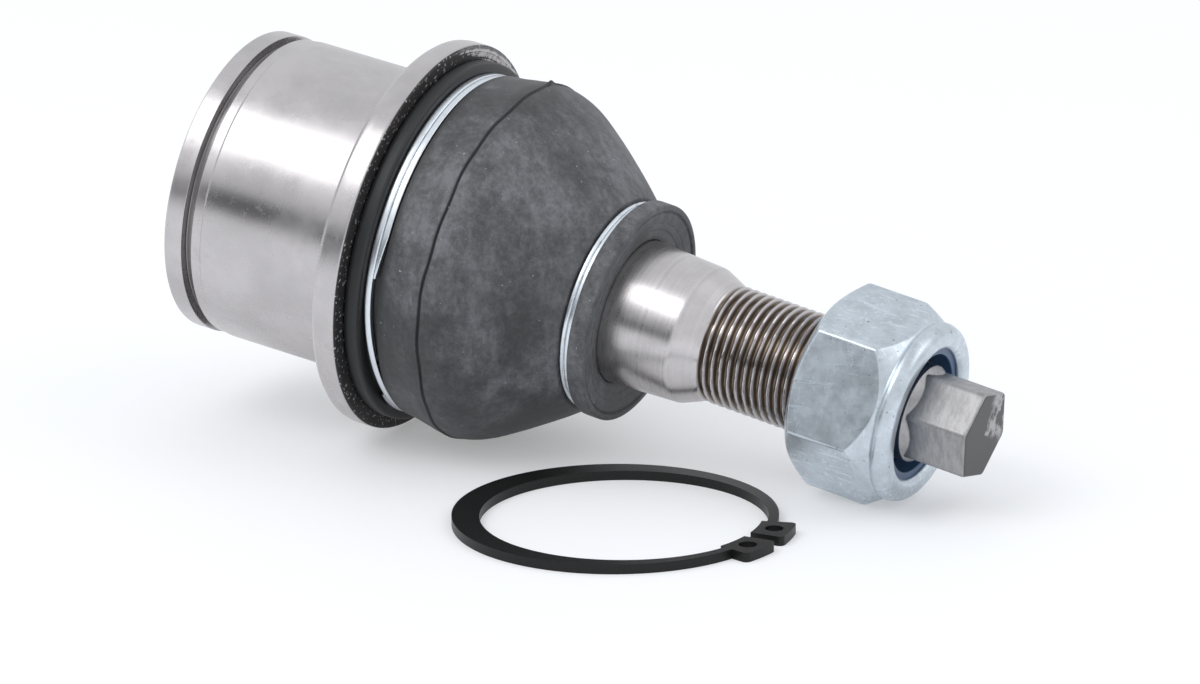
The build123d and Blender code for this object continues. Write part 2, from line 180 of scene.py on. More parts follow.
class NutSettings(bpy.types.PropertyGroup):
    back: length("Back station", 89.4, "Station of the bearing face")
    height: length("Height", 19.0, "Height of the nut")
    flats: length("Across flats", 30.0, "Width of the hexagon")
    corner_round: length("Corner round", 0.7, "Rounding of the hexagon's corners")
    turn: angle("Turn", -17.3, "Direction of one corner, from up")
    face: length("Face radius", 14.2, "Radius of the bearing face")
    bevel: angle("Face bevel", 33.0, "Angle of the bevel round the face")
    crown_low: length("Crown start", 12.6, "Height of its cut at the corners")
    crown_high: length("Crown finish", 15.9, "Height of the waist below the collar")
    waist: length("Waist radius", 14.75, "Radius of the waist")
    collar: length("Collar radius", 15.15, "Radius of the collar")
    collar_low: length("Collar start", 16.5, "Height where the collar starts")
    curl: length("Collar round", 1.9, "How far back the round starts")
    lip: length("Lip radius", 11.2, "Radius of the hole in the rolled lip")
    insert: length("Insert radius", 12.5, "Radius of the nylon insert")
    insert_low: length("Insert start", 13.4, "Height of the insert's pocket floor")
    insert_high: length("Insert finish", 17.75, "Height of the underside of the lip")
    bore: length("Bore radius", 10.05, "Radius of the bore")
    steps: count("Steps round", 384, "Steps round the nut")


class ColourSettings(bpy.types.PropertyGroup):
    steel: colour("Turned steel", (0.64, 0.615, 0.62), "Housing")
    ground: colour("Ground steel", (0.63, 0.605, 0.61), "Ball stud")
    forged: colour("Forged face", (0.040, 0.038, 0.038), "Front face of the flange")
    rubber: colour("Rubber", (0.018, 0.019, 0.020), "Boot where it is clean")
    bloom: colour("Bloom", (0.180, 0.184, 0.196), "Pale film on the boot")
    wire: colour("Wire", (0.82, 0.87, 0.92), "Both wire rings")
    rust: colour("Wire edge", (0.20, 0.15, 0.11), "Stains along the wire's edges")
    zinc: colour("Zinc", (0.665, 0.735, 0.795), "Lock nut and cover plate")
    nylon: colour("Nylon", (0.045, 0.100, 0.200), "Insert of the lock nut")
    oil: colour("Oiled thread", (0.19, 0.155, 0.125), "Flanks of the thread")
    tail: colour("Wrench tail", (0.40, 0.395, 0.40), "Machined tail of the stud")
    phosphate: colour("Phosphate", (0.018, 0.018, 0.018), "Retaining ring")
    polymer: colour("Polymer", (0.60, 0.57, 0.48), "Race halves")
    spring: colour("Spring steel", (0.30, 0.30, 0.30), "Spring and pressure plate")
    floor: colour("Floor", (0.70, 0.71, 0.73), "Floor as the piece sees it")


class StageSettings(bpy.types.PropertyGroup):
    camera: bpy.props.FloatVectorProperty(
        name="Camera place", description="Where the camera stands", size=3, subtype="TRANSLATION",
        unit="LENGTH", default=(0.51994, -0.92066, 0.28873))
    heading: angle("Heading", 27.2962, "Turn of the view from +Y towards -X")
    dip: angle("Dip", 16.4128, "How far the view looks down")
    roll: angle("Roll", -0.3393, "Turn of the camera about its own view")
    lens: factor("Lens", 195.0, "Focal length in millimetres", "CAMERA")
    key: factor("Soft box", 2.6, "Power of the soft box in watts", "POWER")
    fill: factor("Fill", 1.2, "Power of the fill light in watts", "POWER")
    sky: factor("Sky", 0.85, "Strength of the even light from all round")
    glow: factor("Floor glow", 0.3, "Light the floor adds where the camera sees it")
    mirrored: factor("Mirrored glow", 0.8, "Share of that glow which the metal mirrors")


class JointSettings(bpy.types.PropertyGroup):
    stance: bpy.props.PointerProperty(type=StanceSettings)
    housing: bpy.props.PointerProperty(type=HousingSettings)
    wire: bpy.props.PointerProperty(type=WireSettings)
    boot: bpy.props.PointerProperty(type=BootSettings)
    stud: bpy.props.PointerProperty(type=StudSettings)
    nut: bpy.props.PointerProperty(type=NutSettings)
    colour: bpy.props.PointerProperty(type=ColourSettings)
    stage: bpy.props.PointerProperty(type=StageSettings)


# ---- frames and lines ----
def axes_of(stance, share):
    """Matrices whose columns are up, aside and ahead for the housing axis turned by a share of the
    stud's lean. Ahead is the housing axis tipped sideways by share times lean, up is the housing's
    up made square to it, and aside is their cross product."""
    share = np.asarray(share, float)[..., None]
    ahead = np.array([math.cos(stance.slope), 0, -math.sin(stance.slope)])
    up = np.array([math.sin(stance.slope), 0, math.cos(stance.slope)])
    sideways = up * math.cos(stance.side) + np.cross(ahead, up) * math.sin(stance.side)
    axis = ahead * np.cos(stance.lean * share) + sideways * np.sin(stance.lean * share)
    square = up - (axis * up).sum(-1, keepdims=True) * axis
    square /= np.linalg.norm(square, axis=-1, keepdims=True)
    return np.stack([square, np.cross(axis, square), axis], axis=-1)


def around(axes, radius, heading, station):
    """Points at a radius and heading round an axis, at a station along it."""
    radius, heading, station = np.broadcast_arrays(radius, heading, station)
    local = np.stack([radius * np.cos(heading), radius * np.sin(heading), station], axis=-1)
    return np.einsum("...ij,...nj->...ni", axes, local)


def eased(corners, reach, steps=EASE_STEPS):
    """Closed line through corners, each cut by a parabola that starts its reach before the corner
    and ends as far after it, with one more point beyond each end to hold the straights straight."""
    corners = np.array(corners, float)
    reach = np.broadcast_to(np.asarray(reach, float), corners.shape[:-1])
    before = np.roll(corners, 1, axis=-2) - corners
    after = np.roll(corners, -1, axis=-2) - corners
    long_before = np.linalg.norm(before, axis=-1)
    long_after = np.linalg.norm(after, axis=-1)
    to_before = before * np.minimum(reach / long_before, MOST_CUT)[..., None]
    to_after = after * np.minimum(reach / long_after, MOST_CUT)[..., None]
    to_before, to_after = to_before[..., None, :], to_after[..., None, :]
    corners = corners[..., None, :]
    t = np.linspace(0, 1, steps)[:, None]
    curve = corners + (1 - t) ** 2 * to_before + t**2 * to_after
    line = np.concatenate([corners + HOLD * to_before, curve, corners + HOLD * to_after], axis=-2)
    return line.reshape(*line.shape[:-3], -1, 2)


def curve_through(points, steps):
    """Smooth open line through points: cubic Hermite pieces whose slopes come from the neighbours
    on both sides, with the same number of steps in each piece."""
    points = np.array(points, float)
    slopes = np.gradient(points, axis=0)
    t = np.linspace(0, 1, steps, endpoint=False)[None, :, None]
    start, finish = points[:-1, None], points[1:, None]
    slope_in, slope_out = slopes[:-1, None], slopes[1:, None]
    line = ((2 * t**3 - 3 * t**2 + 1) * start + (t**3 - 2 * t**2 + t) * slope_in
            + (3 * t**2 - 2 * t**3) * finish + (t**3 - t**2) * slope_out)
    return np.concatenate([line.reshape(-1, points.shape[1]), points[-1:]])


def hexagon_reach(heading, half_flats, rounding):
    """Radius of a hexagon with rounded corners. On a flat it is the half width over the cosine of
    the angle from the flat's middle; near a corner it is where the ray meets the corner's arc."""
    off = (heading + TURN / 12) % (TURN / 6) - TURN / 12
    from_flat = TURN / 12 - np.abs(off)
    centre = (half_flats - rounding) / math.cos(TURN / 12)
    arc = centre * np.cos(off) + np.sqrt(np.maximum(rounding**2 - (centre * np.sin(off)) ** 2, 0))
    flat = half_flats / np.cos(from_flat)
    on_arc = half_flats * np.tan(from_flat) > (half_flats - rounding) * math.tan(TURN / 12)
    return np.where(on_arc, arc, flat)


# ---- meshes ----
def quads_of(rows, columns, wrap_rows):
    """Corner numbers of the quads of a grid of points whose columns close on themselves."""
    r = np.arange(rows if wrap_rows else rows - 1)[:, None]
    c = np.arange(columns)[None, :]
    r_next, c_next = (r + 1) % rows, (c + 1) % columns
    corners = [r * columns + c, r_next * columns + c, r_next * columns + c_next, r * columns + c_next]
    return np.stack([np.broadcast_to(k, (r.size, c.size)) for k in corners], axis=-1).reshape(-1, 4)


def enclosed(points, quads):
    """Volume inside closed quads: the sum of the tetrahedra from the first point to each half."""
    p = points[quads] - points[0]
    first = (np.cross(p[:, 0], p[:, 1]) * p[:, 2]).sum()
    return (first + (np.cross(p[:, 0], p[:, 2]) * p[:, 3]).sum()) / 6


def into_scene(name, data):
    """New object in the scene that holds the data."""
    made = bpy.data.objects.new(name, data)
    bpy.context.scene.collection.objects.link(made)
    return made


def skin(name, grid, wrap_rows, crease, marks=None):
    """Mesh object from a closed grid of points, whose columns always close on themselves. Points
    that fall together at seams and poles are joined, quads that shrink to a line are left out, and
    the faces point outwards. Edges bent by more than the crease's degrees stay sharp. Marks are
    extra values of each point, kept under their names."""
    flat = grid.reshape(-1, 3)
    quads = quads_of(*grid.shape[:2], wrap_rows)
    quads = quads if enclosed(flat, quads) > 0 else quads[:, ::-1]
    _, kept, joined = np.unique(np.round(flat / JOIN), axis=0, return_index=True, return_inverse=True)
    points, faces = flat[kept], joined.reshape(-1)[quads]
    solid = faces != np.roll(faces, -1, axis=1)
    solid &= (solid.sum(axis=1) >= 3)[:, None]
    sides = solid.sum(axis=1)
    sides = sides[sides > 0]
    mesh = bpy.data.meshes.new(name)
    mesh.vertices.add(len(points))
    mesh.vertices.foreach_set("co", points.astype(np.float32).ravel())
    mesh.loops.add(int(sides.sum()))
    mesh.loops.foreach_set("vertex_index", faces[solid].astype(np.int32))
    mesh.polygons.add(len(sides))
    mesh.polygons.foreach_set("loop_start", (np.cumsum(sides) - sides).astype(np.int32))
    mesh.update(calc_edges=True)
    if mesh.validate():
        raise RuntimeError(f"{name} has faces that aren't sound")
    rest = mesh.attributes.new("rest", "FLOAT_VECTOR", "POINT")
    rest.data.foreach_set("vector", points.astype(np.float32).ravel())
    for key, values in (marks or {}).items():
        mark = mesh.attributes.new(key, "FLOAT", "POINT")
        mark.data.foreach_set("value", values.ravel()[kept].astype(np.float32))
    mesh.shade_smooth()
    mesh.set_sharp_from_angle(angle=math.radians(crease))
    return into_scene(name, mesh)


def lathe(axes, line, steps):
    """Closed grid from a closed half section of (radius, station) carried round an axis."""
    heading = np.linspace(0, TURN, steps, endpoint=False)
    return around(axes, line[:, :1], heading[None, :], line[:, 1:])


def wound_wire(axes, wires, part):
    """Closed grid of the flat wire of one ring, wound a little under twice round. The section is a
    rounded rectangle; its middle keeps one station to the end of the lap, slides over by its own
    width through the gap that the missing part of a turn leaves, and keeps the second station from
    there on. Both ends taper on their outer side."""
    radius, thickness, width, low, turns, start = (
        getattr(wires, f"{part}_{size}")
        for size in ("radius", "thickness", "wire", "low", "turns", "start"))
    travel = np.linspace(0, turns, int(wires.steps * turns) + 1)
    slide = np.clip((travel - turns + 1) / (2 - turns), 0, 1)
    station = low + width / 2 + width * slide**2 * (3 - 2 * slide)
    to_end = np.minimum(travel, turns - travel) * TURN / wires.taper
    narrow = wires.tip + (1 - wires.tip) * np.clip(to_end, 0, 1)
    station += np.where(travel < turns / 2, 0.5, -0.5) * width * (1 - narrow)
    half = np.array([thickness / 2, width / 2 * wires.packing])
    section = eased(np.array([[-1, -1], [1, -1], [1, 1], [-1, 1]]) * half, wires.rounding)
    rows = np.stack([station, start + TURN * travel, narrow])
    station, heading, narrow = np.pad(rows, ((0, 0), (1, 1)), mode="edge")[..., None]
    ends = np.pad(np.ones(len(travel)), 1)[:, None]
    across = radius - thickness / 2 + section[None, :, 0] * ends
    along = station + section[None, :, 1] * narrow * ends
    return around(axes, across, heading, along)


# ---- shader values ----
def add_node(tree, kind, settings, sockets):
    """Node of any type: its settings by name, and its inputs by name or number."""
    made = tree.nodes.new(kind)
    for name, value in settings.items():
        setattr(made, name, value)
    for key, value in sockets.items():
        if isinstance(value, Wire):
            tree.links.new(value.socket, made.inputs[key])
        else:
            made.inputs[key].default_value = value
    return made


def both_ways(operation):
    """An operator's two methods, for a value that stands before it and one that stands after."""
    return (lambda self, other: self.number(operation, self, other),
            lambda self, other: self.number(operation, other, self))


class Wire:
    """A shader output that arithmetic works on. Each step adds one node to the same tree."""

    def __init__(self, tree, socket):
        self.tree = tree
        self.socket = socket

    def node(self, kind, settings, sockets, output=0):
        """One output of a new node."""
        return Wire(self.tree, add_node(self.tree, kind, settings, sockets).outputs[output])

    def number(self, operation, *values):
        """One step of arithmetic on plain numbers."""
        return self.node("ShaderNodeMath", {"operation": operation}, dict(enumerate(values)))

    __add__, __radd__ = both_ways("ADD")
    __sub__, __rsub__ = both_ways("SUBTRACT")
    __mul__, __rmul__ = both_ways("MULTIPLY")
    __truediv__, __rtruediv__ = both_ways("DIVIDE")
    __pow__, __rpow__ = both_ways("POWER")

    def rise(self, low, high):
        """0 below low and 1 above high, with a smooth step between them."""
        return self.node("ShaderNodeMapRange", {"interpolation_type": "SMOOTHSTEP"},
                         {"Value": self, "From Min": low, "From Max": high})

    def between(self, low, high, soft):
        """1 between low and high, falling to 0 over soft at both ends."""
        return self.rise(low - soft, low + soft) * (1 - self.rise(high - soft, high + soft))

    def dot(self, direction):
        """Length of this vector along a direction."""
        return self.node("ShaderNodeVectorMath", {"operation": "DOT_PRODUCT"},
                         {0: self, 1: tuple(direction)}, "Value")

    def stretched(self, factors):
        """This vector times a factor on each axis."""
        return self.node("ShaderNodeVectorMath", {"operation": "MULTIPLY"}, {0: self, 1: factors})

    def noise(self, scale, detail=2.0, rough=0.5):
        """Smooth random value about a half, scale lumps to the metre."""
        return self.node("ShaderNodeTexNoise", {},
                         {"Vector": self, "Scale": scale, "Detail": detail, "Roughness": rough})

    def grain(self, scale, detail=2.0):
        """Smooth random value of this number alone."""
        return self.node("ShaderNodeTexNoise", {"noise_dimensions": "1D"},
                         {"W": self, "Scale": scale, "Detail": detail})

    def mix(self, first, second):
        """The first colour where this is 0 and the second where it is 1."""
        return self.node("ShaderNodeMix", {"data_type": "RGBA", "clamp_factor": True},
                         {0: self, 6: first, 7: second}, 2)

    def bump(self, strength, distance):
        """Normal pushed about by this height."""
        return self.node("ShaderNodeBump", {},
                         {"Height": self, "Strength": strength, "Distance": distance})


def scaled(tint, share):
    """Colour times a share, no brighter than white."""
    return (*(min(1.0, part * share) for part in tint[:3]), 1.0)


def polar(spot, axes):
    """Station, radius and heading of a place round an axis, as shader values."""
    up, aside, station = (spot.dot(axes[:, k]) for k in range(3))
    radius = (up * up + aside * aside) ** 0.5
    return station, radius, aside.number("ARCTAN2", aside, up)


def material(name, recipe, *values, **named):
    """Material from a recipe that turns a place on the piece, and the values it needs, into the
    surface's inputs."""
    made = bpy.data.materials.new(name)
    made.use_nodes = True
    tree = made.node_tree
    tree.nodes.clear()
    spot = Wire(tree, add_node(tree, "ShaderNodeTexCoord", {}, {}).outputs["Object"])
    shader = add_node(tree, "ShaderNodeBsdfPrincipled", {}, recipe(spot, *values, **named))
    add_node(tree, "ShaderNodeOutputMaterial", {}, {"Surface": Wire(tree, shader.outputs[0])})
    return made


def rest_spot(spot):
    """The place where a point was before the piece bent."""
    return spot.node("ShaderNodeAttribute", {"attribute_name": "rest"}, {}, "Vector")


def specks(place, scale, share):
    """1 in scattered small spots, more of them the larger the share, and 0 between them."""
    return place.noise(scale, 1.0, 0.4).rise(0.80 - share, 0.84 - share)


def turned_steel(spot, axes, housing, colours):
    """Turned steel: fine rings round the axis, faint smudges and light scuffs, with painted shade in
    the groove. The flange's front face is dark and rough with bright specks, and scraped bright over a
    lens-shaped place whose inner edge moves out as the square of the angle from its middle."""
    station, radius, heading = polar(spot, axes)
    rings = station.grain(7000, 3) * 0.6 + radius.grain(7000, 3) * 0.4
    smudge = spot.noise(70, 4, 0.6)
    stain = spot.noise(38, 6, 0.7).rise(0.56, 0.72)
    face = station.rise(housing.flange_high - 0.35 * MM, housing.flange_high - 0.2 * MM)
    face = face * radius.rise(housing.neck, housing.neck + MM)
    # painted shade: this mask covers the groove's floor and the lower part of its walls, where shadow
    # falls
    groove = station.between(housing.groove_low, housing.groove_high, 0.1 * MM)
    groove = groove * (1 - radius.rise(housing.groove + 0.2 * MM, housing.lead - 0.1 * MM))
    # the groove mask darkens the steel's colour by up to 0.6 as painted shade; smudges and stains are
    # random tone
    clean = (1 - groove * 0.6) * (0.8 + smudge.rise(0.3, 0.7) * 0.2 - stain * 0.35)
    inner, fall, middle, half = 30.8 * MM, 2.2 * MM, -0.66, 0.66
    lens = radius - inner - fall * ((heading - middle) / half) ** 2
    torn = (radius.grain(2600, 4) + spot.noise(900, 4, 0.7)).rise(0.8, 1.1)
    scraped = (lens + (torn - 0.5) * 1.2 * MM).rise(-0.1 * MM, 0.3 * MM) * (0.25 + torn * 0.75)
    scraped = scraped * (1 - radius.rise(housing.flange - 0.7 * MM, housing.flange - 0.5 * MM) * 0.7)
    forged = specks(spot, 1900, 0.15).mix(colours.forged, scaled(colours.steel, 0.8))
    forged = scraped.mix(forged, scaled(colours.steel, 0.95))
    scuffs = spot.noise(700, 4, 0.7).rise(0.55, 0.7)
    rough = 0.2 + smudge.rise(0.35, 0.75) * 0.1 + rings * 0.08 + scuffs * 0.06 + face * 0.3
    return {"Base Color": face.mix(clean.mix(scaled(colours.steel, 0.1), colours.steel), forged),
            "Metallic": 1 - face * (1 - scraped) * 0.7,
            "Roughness": rough + stain * 0.12,
            "Normal": (rings + spot.noise(1400, 3) * face * 5).bump(0.3, 0.03 * MM)}


def boot_rubber(spot, axes, colours):
    """Dark rubber with a pale bloom in soft clouds, finer smears and specks of dust, and little of
    them on the lip. The seam is a dark line."""
    place = rest_spot(spot)
    station = polar(place, axes)[0]
    clouds = place.noise(45, 6, 0.66).rise(0.4, 0.62)
    smears = place.stretched((1.0, 1.0, 0.35)).noise(240, 6, 0.75).rise(0.42, 0.62)
    dusty = place.noise(900, 6, 0.8).rise(0.42, 0.62)
    bloom = clouds * (0.3 + smears * 0.4 + dusty * 0.25) + smears * 0.1 + dusty * 0.12
    bloom = (0.12 + bloom * 0.88) * station.rise(19.7 * MM, 21.5 * MM)
    seam = spot.node("ShaderNodeAttribute", {"attribute_name": "seam"}, {}, "Fac")
    bloom = bloom * (1 - seam)
    dust = specks(place, 1900, 0.03) * station.rise(18 * MM, 22 * MM)
    film = seam.mix(bloom.mix(colours.rubber, colours.bloom), scaled(colours.rubber, 0.4))
    return {"Base Color": (dust * 0.6).mix(film, scaled(colours.bloom, 3.2)), "Metallic": 0.0,
            "Roughness": 0.46 + bloom * 0.22, "Specular IOR Level": 0.5,
            "Normal": (place.noise(1500, 3, 0.6) + smears * 0.6).bump(0.25, 0.06 * MM)}


def zinc(spot, tint, rough):
    """Bright bluish zinc with cloudy passivation, crossed scratches and small dark specks."""
    cloud = spot.noise(230, 7, 0.75).rise(0.34, 0.66)
    brushed = spot.stretched((0.16, 1.0, 1.0)).noise(1900, 4, 0.65)
    across = spot.stretched((1.0, 1.0, 0.06)).noise(1500, 3, 0.5).rise(0.6, 0.66)
    along = spot.stretched((0.08, 1.0, 0.9)).noise(1100, 3, 0.5).rise(0.6, 0.66)
    scratch = (across + along) * spot.noise(110, 2, 0.5).rise(0.36, 0.56)
    pits = specks(spot, 1500, 0.05)
    shade = (0.7 + cloud * 0.2) * (1 - pits * 0.7) + scratch * 0.22
    return {"Base Color": shade.mix(scaled(tint, 0.12), scaled(tint, 1.1)), "Metallic": 1.0,
            "Roughness": rough + cloud * 0.1 + brushed * 0.12 + pits * 0.2 - scratch * 0.05,
            "Normal": (brushed + scratch * 0.6 + pits).bump(0.25, 0.03 * MM)}


def wire_zinc(spot, axes, wires, colours):
    """Bright zinc on wire, with brown stains on the clamp ring's sides and fainter ones all over
    the neck ring."""
    station, radius, _ = polar(spot, axes)
    stain = spot.noise(420, 5, 0.7).rise(0.5, 0.72)
    side = 1 - radius.rise(wires.clamp_radius - 0.35 * MM, wires.clamp_radius - 0.08 * MM)
    neck = station.rise(wires.neck_low - 9.2 * MM, wires.neck_low - 8.2 * MM)
    edge = (side * (1 - neck) + neck * 0.35) * 0.8 + 0.15
    shine = spot.noise(900, 3, 0.6)
    return {"Base Color": (stain * edge).mix(colours.wire, colours.rust), "Metallic": 1.0,
            "Roughness": 0.24 + shine * 0.1, "Normal": shine.bump(0.15, 0.02 * MM)}


def stud_steel(spot, axes, stud, colours):
    """Ground steel with fine rings; the thread's flanks are brownish and oily, and the wrench tail is
    rough grey with a darker end face."""
    station, radius, heading = polar(spot, axes)
    rings = station.grain(9000, 3)
    streaks = station.grain(1500, 4)
    thread = station.between(stud.thread_low - 0.3 * MM, stud.thread_high + MM, 0.3 * MM)
    deep = thread * (1 - radius.rise(stud.thread - 0.55 * MM, stud.thread - 0.12 * MM))
    tail = station.rise(stud.pilot_end - 0.4 * MM, stud.pilot_end + 0.2 * MM)
    end = station.rise(stud.tail_end - 0.1 * MM, stud.tail_end - 0.02 * MM)
    mottle = spot.noise(260, 4, 0.65)
    marks = spot.stretched((1.0, 0.3, 0.3)).noise(1100, 5, 0.75)
    # a paler streak in noisy patches over one side of the end face; the rest of the end face is darker
    pale_streak = spot.noise(300, 5, 0.7).rise(0.45, 0.6) * heading.between(-1.9, -0.2, 0.25)
    shade = (mottle * 0.6 + streaks * 0.4).rise(0.3, 0.7)
    clean = shade.mix(scaled(colours.ground, 0.9), scaled(colours.ground, 1.08))
    oily = (deep + thread * mottle.rise(0.5, 0.8) * 0.2).mix(clean, colours.oil)
    milled = marks.rise(0.35, 0.65).mix(scaled(colours.tail, 0.85), scaled(colours.tail, 1.15))
    face = pale_streak.mix(scaled(colours.tail, 0.3), scaled(colours.tail, 1.2))
    return {"Base Color": end.mix(tail.mix(oily, milled), face), "Metallic": 1.0,
            "Roughness": 0.25 + streaks * 0.06 + tail * 0.18 - thread * 0.08 + deep * 0.12,
            "Normal": (rings + mottle * tail * 3 + marks * tail * 2).bump(0.25, 0.03 * MM)}


def plain(spot, tint, metallic, rough, lumps):
    """Even colour with a fine grain."""
    grain = spot.noise(lumps, 3, 0.6)
    return {"Base Color": grain.rise(0.2, 0.8).mix(tint, scaled(tint, 1.25)), "Metallic": metallic,
            "Roughness": rough + grain * 0.1, "Normal": grain.bump(0.3, 0.02 * MM)}


def floor_white(spot, tint, stage):
    """Pale floor that shines by itself, only as the camera and the bright metal see it, so that it
    comes out white there while the light it throws on the rest stays low."""
    camera = spot.node("ShaderNodeLightPath", {}, {}, "Is Camera Ray")
    seen = camera + spot.node("ShaderNodeLightPath", {}, {}, "Is Glossy Ray") * stage.mirrored
    return {"Base Color": tint, "Roughness": 0.6, "Specular IOR Level": 0.2,
            "Emission Color": seen.mix(BLACK, scaled(WHITE, stage.glow)),
            "Emission Strength": 1.0}


def screen_black(spot):
    """Near black, the same all over."""
    return {"Base Color": (0.01, 0.01, 0.01, 1.0)}


# ---- pieces ----
def show(piece, surface, body, node):
    """Paints a piece, sets it on its body and hides the node it stands for."""
    piece.data.materials.append(surface)
    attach(piece, body)
    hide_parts(node)


def paint_node(name, surface):
    """Paints a node that keeps its own shape."""
    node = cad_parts[name]
    node.data.materials.clear()
    node.data.materials.append(surface)


def housing_line(housing):
    """Half section of the housing: a closed line of (radius, station) with eased corners, round the
    outside from the rear opening to the mouth and back along the bore and the cover's pocket."""
    opening, cover, cover_low, cover_high = 20.6 * MM, 22.05 * MM, -22.0 * MM, -20.0 * MM
    race_end, mouth_low, mouth_high, flare = 6 * MM, 12 * MM, 13 * MM, 17.4 * MM
    end, front, bevel = housing.end, housing.front, 0.2 * MM
    corners = [
        (opening, end, 0.1), (housing.land - bevel, end, 0.15), (housing.land, end + bevel, 0.15),
        (housing.land, housing.groove_low, 0.12), (housing.groove, housing.groove_low, 0.25),
        (housing.groove, housing.groove_high, 0.25), (housing.lead, housing.groove_high, 0.12),
        (housing.lead, housing.land_low - 0.3 * MM, 0.1), (housing.land, housing.land_low, 0.1),
        (housing.land, housing.flange_low, 0.5), (housing.flange, housing.flange_low, 2.7),
        (housing.flange, housing.flange_high, 0.6), (housing.neck, housing.flange_high, 0.2),
        (housing.neck, front, 0.3), (flare, front, 0.2), (housing.mouth, mouth_high, 0.2),
        (housing.mouth, mouth_low, 0.2), (housing.bore, race_end, 0.3),
        (housing.bore, cover_high, 0.1), (cover, cover_high, 0.1), (cover, cover_low, 0.1),
        (opening, cover_low, 0.1),
    ]
    line = np.array(corners)
    return eased(line[:, :2], line[:, 2] * MM)


def boot_line(boot):
    """Half section of the boot: lip and clamp seat, outer belly, neck seat, dished cuff and inner
    belly, as a closed line of (radius, station). The lip's rim and the cuff's dish are straight
    lines through (radius, station, easing) corners in millimetres, and both bellies are smooth
    curves, the outer one with more points at the seam."""
    outer = curve_through(np.array([
        (29.62, 19.9), (29.85, 22.2), (30.4, 25.2), (30.8, 28.4), (29.75, 32.6), (26.95, 37.3),
        (23.7, 42.0), (20.75, 46.0), (18.35, 49.0)]) * MM, steps=14)
    seam_half, seam_points = 1.3 * MM, 53
    seam = np.linspace(boot.seam - seam_half, boot.seam + seam_half, seam_points)
    seam_line = np.stack([np.interp(seam, outer[:, 1], outer[:, 0]), seam], axis=1)
    outer = np.concatenate([outer[outer[:, 1] < seam[0]], seam_line, outer[outer[:, 1] > seam[-1]]])
    inner = curve_through(np.array([
        (16.3, 47.6), (18.7, 44.7), (21.7, 40.5), (25.0, 35.9), (27.6, 31.6), (28.55, 28.4),
        (28.2, 25.4), (27.6, 22.0), (26.9, 20.2)]) * MM, steps=6)
    bore, lip, groove = boot.bore / MM, boot.lip / MM, boot.groove / MM
    rim = np.array([
        (bore, 14.1, 0.3), (lip, 14.1, 0.9), (lip, 16.9, 0.7), (groove, 16.9, 0.1),
        (groove, 19.6, 0.1), (29.55, 19.6, 0.0)]) * MM
    neck, cuff, front, seat = boot.neck / MM, boot.cuff / MM, boot.cuff_front / MM, boot.seat / MM
    dish = np.array([
        (neck, 49.12, 0.1), (neck, 51, 0.1), (cuff, 51, 0.35), (cuff, front, 0.45),
        (17.75, front, 0.2), (17.5, front - 0.45, 0.15), (17.2, front - 0.2, 0.2),
        (15.6, front - 0.45, 0.2), (15.4, front - 0.58, 0.12), (15.2, front - 0.5, 0.12),
        (14.4, front - 0.65, 0.2), (14.2, front - 0.82, 0.12), (13.1, front - 0.85, 0.25),
        (12.4, front - 1.15, 0.2), (seat, front - 4, 0.1), (seat, 48.2, 0.2), (14.2, 48, 0.3)]) * MM
    rim, dish = eased(rim[:, :2], rim[:, 2]), eased(dish[:, :2], dish[:, 2])
    return np.concatenate([rim[:-EASE_STEPS - 2], outer, dish, inner])


def boot_grid(boot, stance):
    """Closed grid of the boot and how much seam there is at each point. Each row is a circle of its
    own radius round an axis that turns from the housing's to the stud's between two stations. The
    seam is a ridge whose height falls off as exp(-x^2), x being the way from a wavy line over the
    ridge's width, with a crease beside it and a wider bump of flash at one place. The underside is
    drawn in by the cube of how far it faces down, most at the middle of the belly."""
    line = boot_line(boot)
    heading = np.linspace(0, TURN, boot.steps, endpoint=False)[None, :]
    radius, station = line[:, :1], line[:, 1:]
    is_outer = radius / MM > np.interp(station / MM, [20, 28, 47], [28.5, 29.4, 17])
    wave = np.sin(3 * heading + 1.1) + 0.6 * np.sin(7 * heading) + 0.35 * np.sin(19 * heading + 2)
    stray, ridge_width, crease_width, crease_depth = 0.26 * MM, 0.15 * MM, 0.2 * MM, 0.2 * MM
    flash_width, flash_height, flash_angle = 0.4 * MM, 0.55 * MM, 0.035
    off_seam = station - boot.seam - stray * wave
    ridge = np.exp(-((off_seam / ridge_width) ** 2)) * is_outer
    crease = np.exp(-(((off_seam - boot.seam_rise) / crease_width) ** 2)) * is_outer
    flash = np.exp(-(((heading - boot.nick + math.pi) % TURN - math.pi) / flash_angle) ** 2)
    flash = np.exp(-((off_seam / flash_width) ** 2)) * is_outer * flash
    down = np.clip(-np.cos(heading), 0, 1) ** 3
    belly_middle, belly_reach, sag = 33 * MM, 12 * MM, 0.35 * MM
    belly = np.clip(1 - np.abs(station - belly_middle) / belly_reach, 0, 1)
    radius = radius + boot.seam_rise * ridge - crease_depth * crease + flash_height * flash
    radius = radius - sag * down * belly
    share = np.clip((station[:, 0] - boot.lean_low) / (boot.lean_high - boot.lean_low), 0, 1)
    return around(axes_of(stance, share), radius, heading, station), np.maximum(crease, flash)


